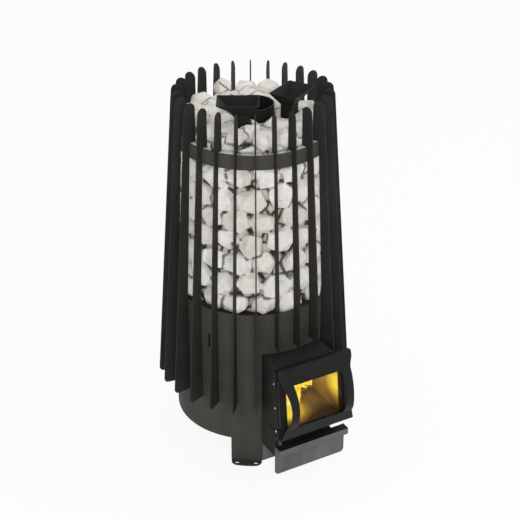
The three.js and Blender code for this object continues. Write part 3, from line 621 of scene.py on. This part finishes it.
def log_points(start, end, radius, seed):
    along = (end - start).normalized()
    sideways = along.cross(Vector((0, 0, 1))).normalized()
    upward = sideways.cross(along)
    points = []
    for ring in range(log_rings + 1):
        middle = start.lerp(end, ring / log_rings)
        for corner in range(log_corners):
            angle = 2 * math.pi * corner / log_corners
            across, up = math.cos(angle), math.sin(angle)
            spoke = sideways * across + upward * up
            knob = noise.noise(Vector((seed + ring * knob_step, across * knob_waves, up * knob_waves)))
            bark = noise.noise(Vector((seed * 3 + ring * bark_step, across * bark_waves, up * bark_waves)))
            points.append(middle + spoke * radius * (1 + knob_share * knob + bark_share * bark))
    return points


def log_mesh(name, start, end, radius, seed):
    faces = []
    for ring in range(log_rings):
        here, beyond = ring * log_corners, (ring + 1) * log_corners
        for corner in range(log_corners):
            after = (corner + 1) % log_corners
            faces.append((here + corner, here + after, beyond + after, beyond + corner))
    faces.append(tuple(reversed(range(log_corners))))
    faces.append(tuple(log_rings * log_corners + corner for corner in range(log_corners)))
    mesh = bpy.data.meshes.new(name)
    mesh.from_pydata(log_points(Vector(start), Vector(end), radius, seed), [], faces)
    mesh.update()
    return mesh


print("log shape ready")

# %% [markdown]
# Burning wood is charred black, paler where ash has formed, and cracked, with embers shining in the cracks.
# The cracks are where a noise crosses its middle value, so one noise gives their glow and the bark's relief.

# %% Logs
grate_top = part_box("grate")[1].z
log_seed_step = 4.7


def charred_wood():
    finish = Finish("charred_wood")
    cracks = finish.noise(55.0, 6.0, 0.7)
    ash = finish.noise(30.0)
    base = finish.blend(ash.clamped(0.45, 0.70), (0.012, 0.009, 0.007), (0.16, 0.11, 0.07))
    ember = finish.blend(cracks.middle_line(14.0), (0.05, 0.02, 0.002), (1.0, 0.45, 0.05))
    relief = finish.bump(cracks, 0.9, 0.004)
    return finish.surface(
        base_color=base, roughness=0.9, normal=relief, emission_color=ember, emission_strength=0.25,
    )


char = charred_wood()
log_places = [
    ((-0.030, axis_y - 0.238, grate_top + 0.030), (-0.055, axis_y + 0.03, grate_top + 0.030), 0.027),
    ((0.040, axis_y - 0.225, grate_top + 0.027), (0.050, axis_y + 0.04, grate_top + 0.029), 0.025),
    ((-0.045, axis_y - 0.180, grate_top + 0.076), (0.068, axis_y - 0.215, grate_top + 0.070), 0.021),
]
for number, (start, end, radius) in enumerate(log_places, 1):
    name = f"log_{number}"
    add_piece(name, log_mesh(name, start, end, radius, number * log_seed_step), "stove", char)
print("logs", len(log_places))

# %% [markdown]
# A flame is a thin tongue of light. Each tongue is a narrow, slightly cupped sheet that is widest low down,
# ends in a point, and sways, leans and twists as it rises. Noise along its height gives each its own way.

# %% Flame shape
flame_rows, flame_columns = 22, 8
foot_phase, taper = 0.28, 0.8
sway_share, twist_reach, cup_share = 0.22, 1.3, 0.18


def flame_points(foot, width, height, turn, seed):
    points = []
    for row in range(flame_rows + 1):
        up = row / flame_rows
        phase = foot_phase + (1 - foot_phase) * up
        half = width / 2 * math.sin(math.pi * phase) ** taper if up < 1 else 0.0
        sway = noise.noise(Vector((seed, up * 2.2, 0))) * height * sway_share * up
        lean = noise.noise(Vector((seed + 7, up * 2.0, 3))) * height * sway_share * up
        twist = turn + noise.noise(Vector((seed + 3, up * 1.5, 1))) * twist_reach
        for column in range(flame_columns + 1):
            side = column / flame_columns - 0.5
            across = side * 2 * half
            cup = cup_share * half * math.cos(math.pi * side)
            x = foot[0] + sway + across * math.cos(twist) - cup * math.sin(twist)
            y = foot[1] + lean + across * math.sin(twist) + cup * math.cos(twist)
            points.append((x, y, foot[2] + up * height))
    return points


def flame_mesh(name, foot, width, height, turn, seed):
    faces = []
    stride = flame_columns + 1
    for row in range(flame_rows):
        for column in range(flame_columns):
            here = row * stride + column
            faces.append((here, here + 1, here + stride + 1, here + stride))
    mesh = bpy.data.meshes.new(name)
    mesh.from_pydata(flame_points(foot, width, height, turn, seed), [], faces)
    mesh.polygons.foreach_set("use_smooth", [True] * len(mesh.polygons))
    mesh.update()
    return mesh


print("flame shape ready")

# %% [markdown]
# A flame is yellow low down and turns to a dull orange at its tip, with flickers in it. The ramp runs on the
# height, two noises disturb it, and Alpha fades the tongue out in licks.

# %% Flames
flame_seed_step = 2.3


def flame_light():
    finish = Finish("flame_light")
    lick = finish.noise(52.0, 3.0, 0.55, finish.stretched((1.0, 1.0, 0.45)))
    flicker = finish.noise(130.0, 4.0, 0.6, finish.stretched((1.0, 1.0, 0.6)))
    height = finish.along("Z") + (lick - 0.5) * 0.08
    rise = height.clamped(grate_top + 0.03, grate_top + 0.145)
    colour = finish.ramp(rise + (flicker - 0.5) * 3.0, [
        (0.0, (1.0, 0.82, 0.13)), (0.25, (1.0, 0.67, 0.045)), (0.55, (0.86, 0.36, 0.012)),
        (0.8, (0.45, 0.13, 0.0)), (1.0, (0.20, 0.05, 0.0)),
    ])
    solid = (lick - rise * 0.30).clamped(0.24, 0.40, 0.0, 0.92)
    return finish.surface(
        base_color=(0.0, 0.0, 0.0), roughness=1.0, alpha=solid, emission_color=colour, emission_strength=1.25,
    )


flame_finish = flame_light()
flame_places = [
    (-0.030, -0.225, 0.045, 0.050, 0.085, -0.5), (-0.008, -0.240, 0.045, 0.048, 0.100, -0.6),
    (0.014, -0.245, 0.045, 0.040, 0.080, -0.4), (0.036, -0.240, 0.045, 0.034, 0.066, -0.5),
    (0.010, -0.205, 0.045, 0.070, 0.120, -0.3), (-0.045, -0.190, 0.045, 0.060, 0.120, -0.9),
    (-0.036, -0.262, 0.012, 0.046, 0.078, -0.5), (-0.010, -0.258, 0.020, 0.040, 0.066, -0.6),
]
for number, (x, forward, lift, width, height, turn) in enumerate(flame_places, 1):
    name = f"flame_{number}"
    foot = (x, axis_y + forward, grate_top + lift)
    tongue = flame_mesh(name, foot, width, height, turn, number * flame_seed_step)
    add_piece(name, tongue, "stove", flame_finish)
print("flames", len(flame_places))

# %% [markdown]
# The studio has an even white sky. It shows full white to the camera, to reflections and to what is seen
# through glass, and it lights the stove a little less strongly, so that the lamps can give it form.

# %% Sky
white = (1.0, 1.0, 1.0)
sky_strength = 0.79


def pale_world():
    world = bpy.data.worlds.new("studio")
    bpy.context.scene.world = world
    finish = Finish("studio", world)
    sky = finish.node("ShaderNodeBackground", None, {"Color": white, "Strength": sky_strength})
    plain = finish.node("ShaderNodeBackground", None, {"Color": white, "Strength": 1.0})
    shown = finish.seen_directly()
    finish.finish_with(finish.node("ShaderNodeMixShader", None, {0: shown, 1: sky, 2: plain}), "World")


pale_world()
print("sky at", sky_strength)

# %% [markdown]
# The floor is a wide sheet of white paper, with its edges outside the photograph's view. Seen directly it is
# mostly plain white too, and the share of the paper that is left keeps the stove's faint shadow.

# %% Floor
floor_reach = 9.0
floor_drop = 0.0005
shown_share = 0.90


def white_floor():
    finish = Finish("white_floor")
    paper = finish.node("ShaderNodeBsdfDiffuse", None, {"Color": (0.86, 0.86, 0.86)})
    light = finish.node("ShaderNodeEmission", None, {"Color": white, "Strength": 1.0})
    shown = finish.seen_directly() * shown_share
    finish.finish_with(finish.node("ShaderNodeMixShader", None, {0: shown, 1: paper, 2: light}))
    return finish.owner


floor_mesh = bpy.data.meshes.new("floor")
floor_signs = ((-1, -1), (1, -1), (1, 1), (-1, 1))
floor_corners = [(x * floor_reach, y * floor_reach, 0) for x, y in floor_signs]
floor_mesh.from_pydata(floor_corners, [], [(0, 1, 2, 3)])
floor_mesh.materials.append(white_floor())
floor = bpy.data.objects.new("floor", floor_mesh)
floor.location.z = -floor_drop
add_to_scene(floor)
print("floor", 2 * floor_reach, "m wide")

# %% [markdown]
# Two soft lamps give the stove its form: a key lamp from the front left, which lights the drum and the
# stones, and a weaker one from the right that keeps the fins there from going black.

# %% Lamps
def soft_lamp(name, place, target, size, power):
    lamp = bpy.data.objects.new(name, bpy.data.lights.new(name, "AREA"))
    lamp.data.size = size
    lamp.data.energy = power
    lamp.location = place
    aim(lamp, Vector(target) - Vector(place))
    add_to_scene(lamp)


soft_lamp("key_lamp", (-1.6, -3.2, 1.9), (0, 0, 0.6), 1.8, 48)
soft_lamp("fill_lamp", (3.0, -1.4, 1.8), (0, 0, 0.5), 2.0, 22)
bpy.context.scene.view_settings.view_transform = "Standard"
print("studio ready")

# %% [markdown]
# The looks never change the stove's size.

# %% End
print("scene built")
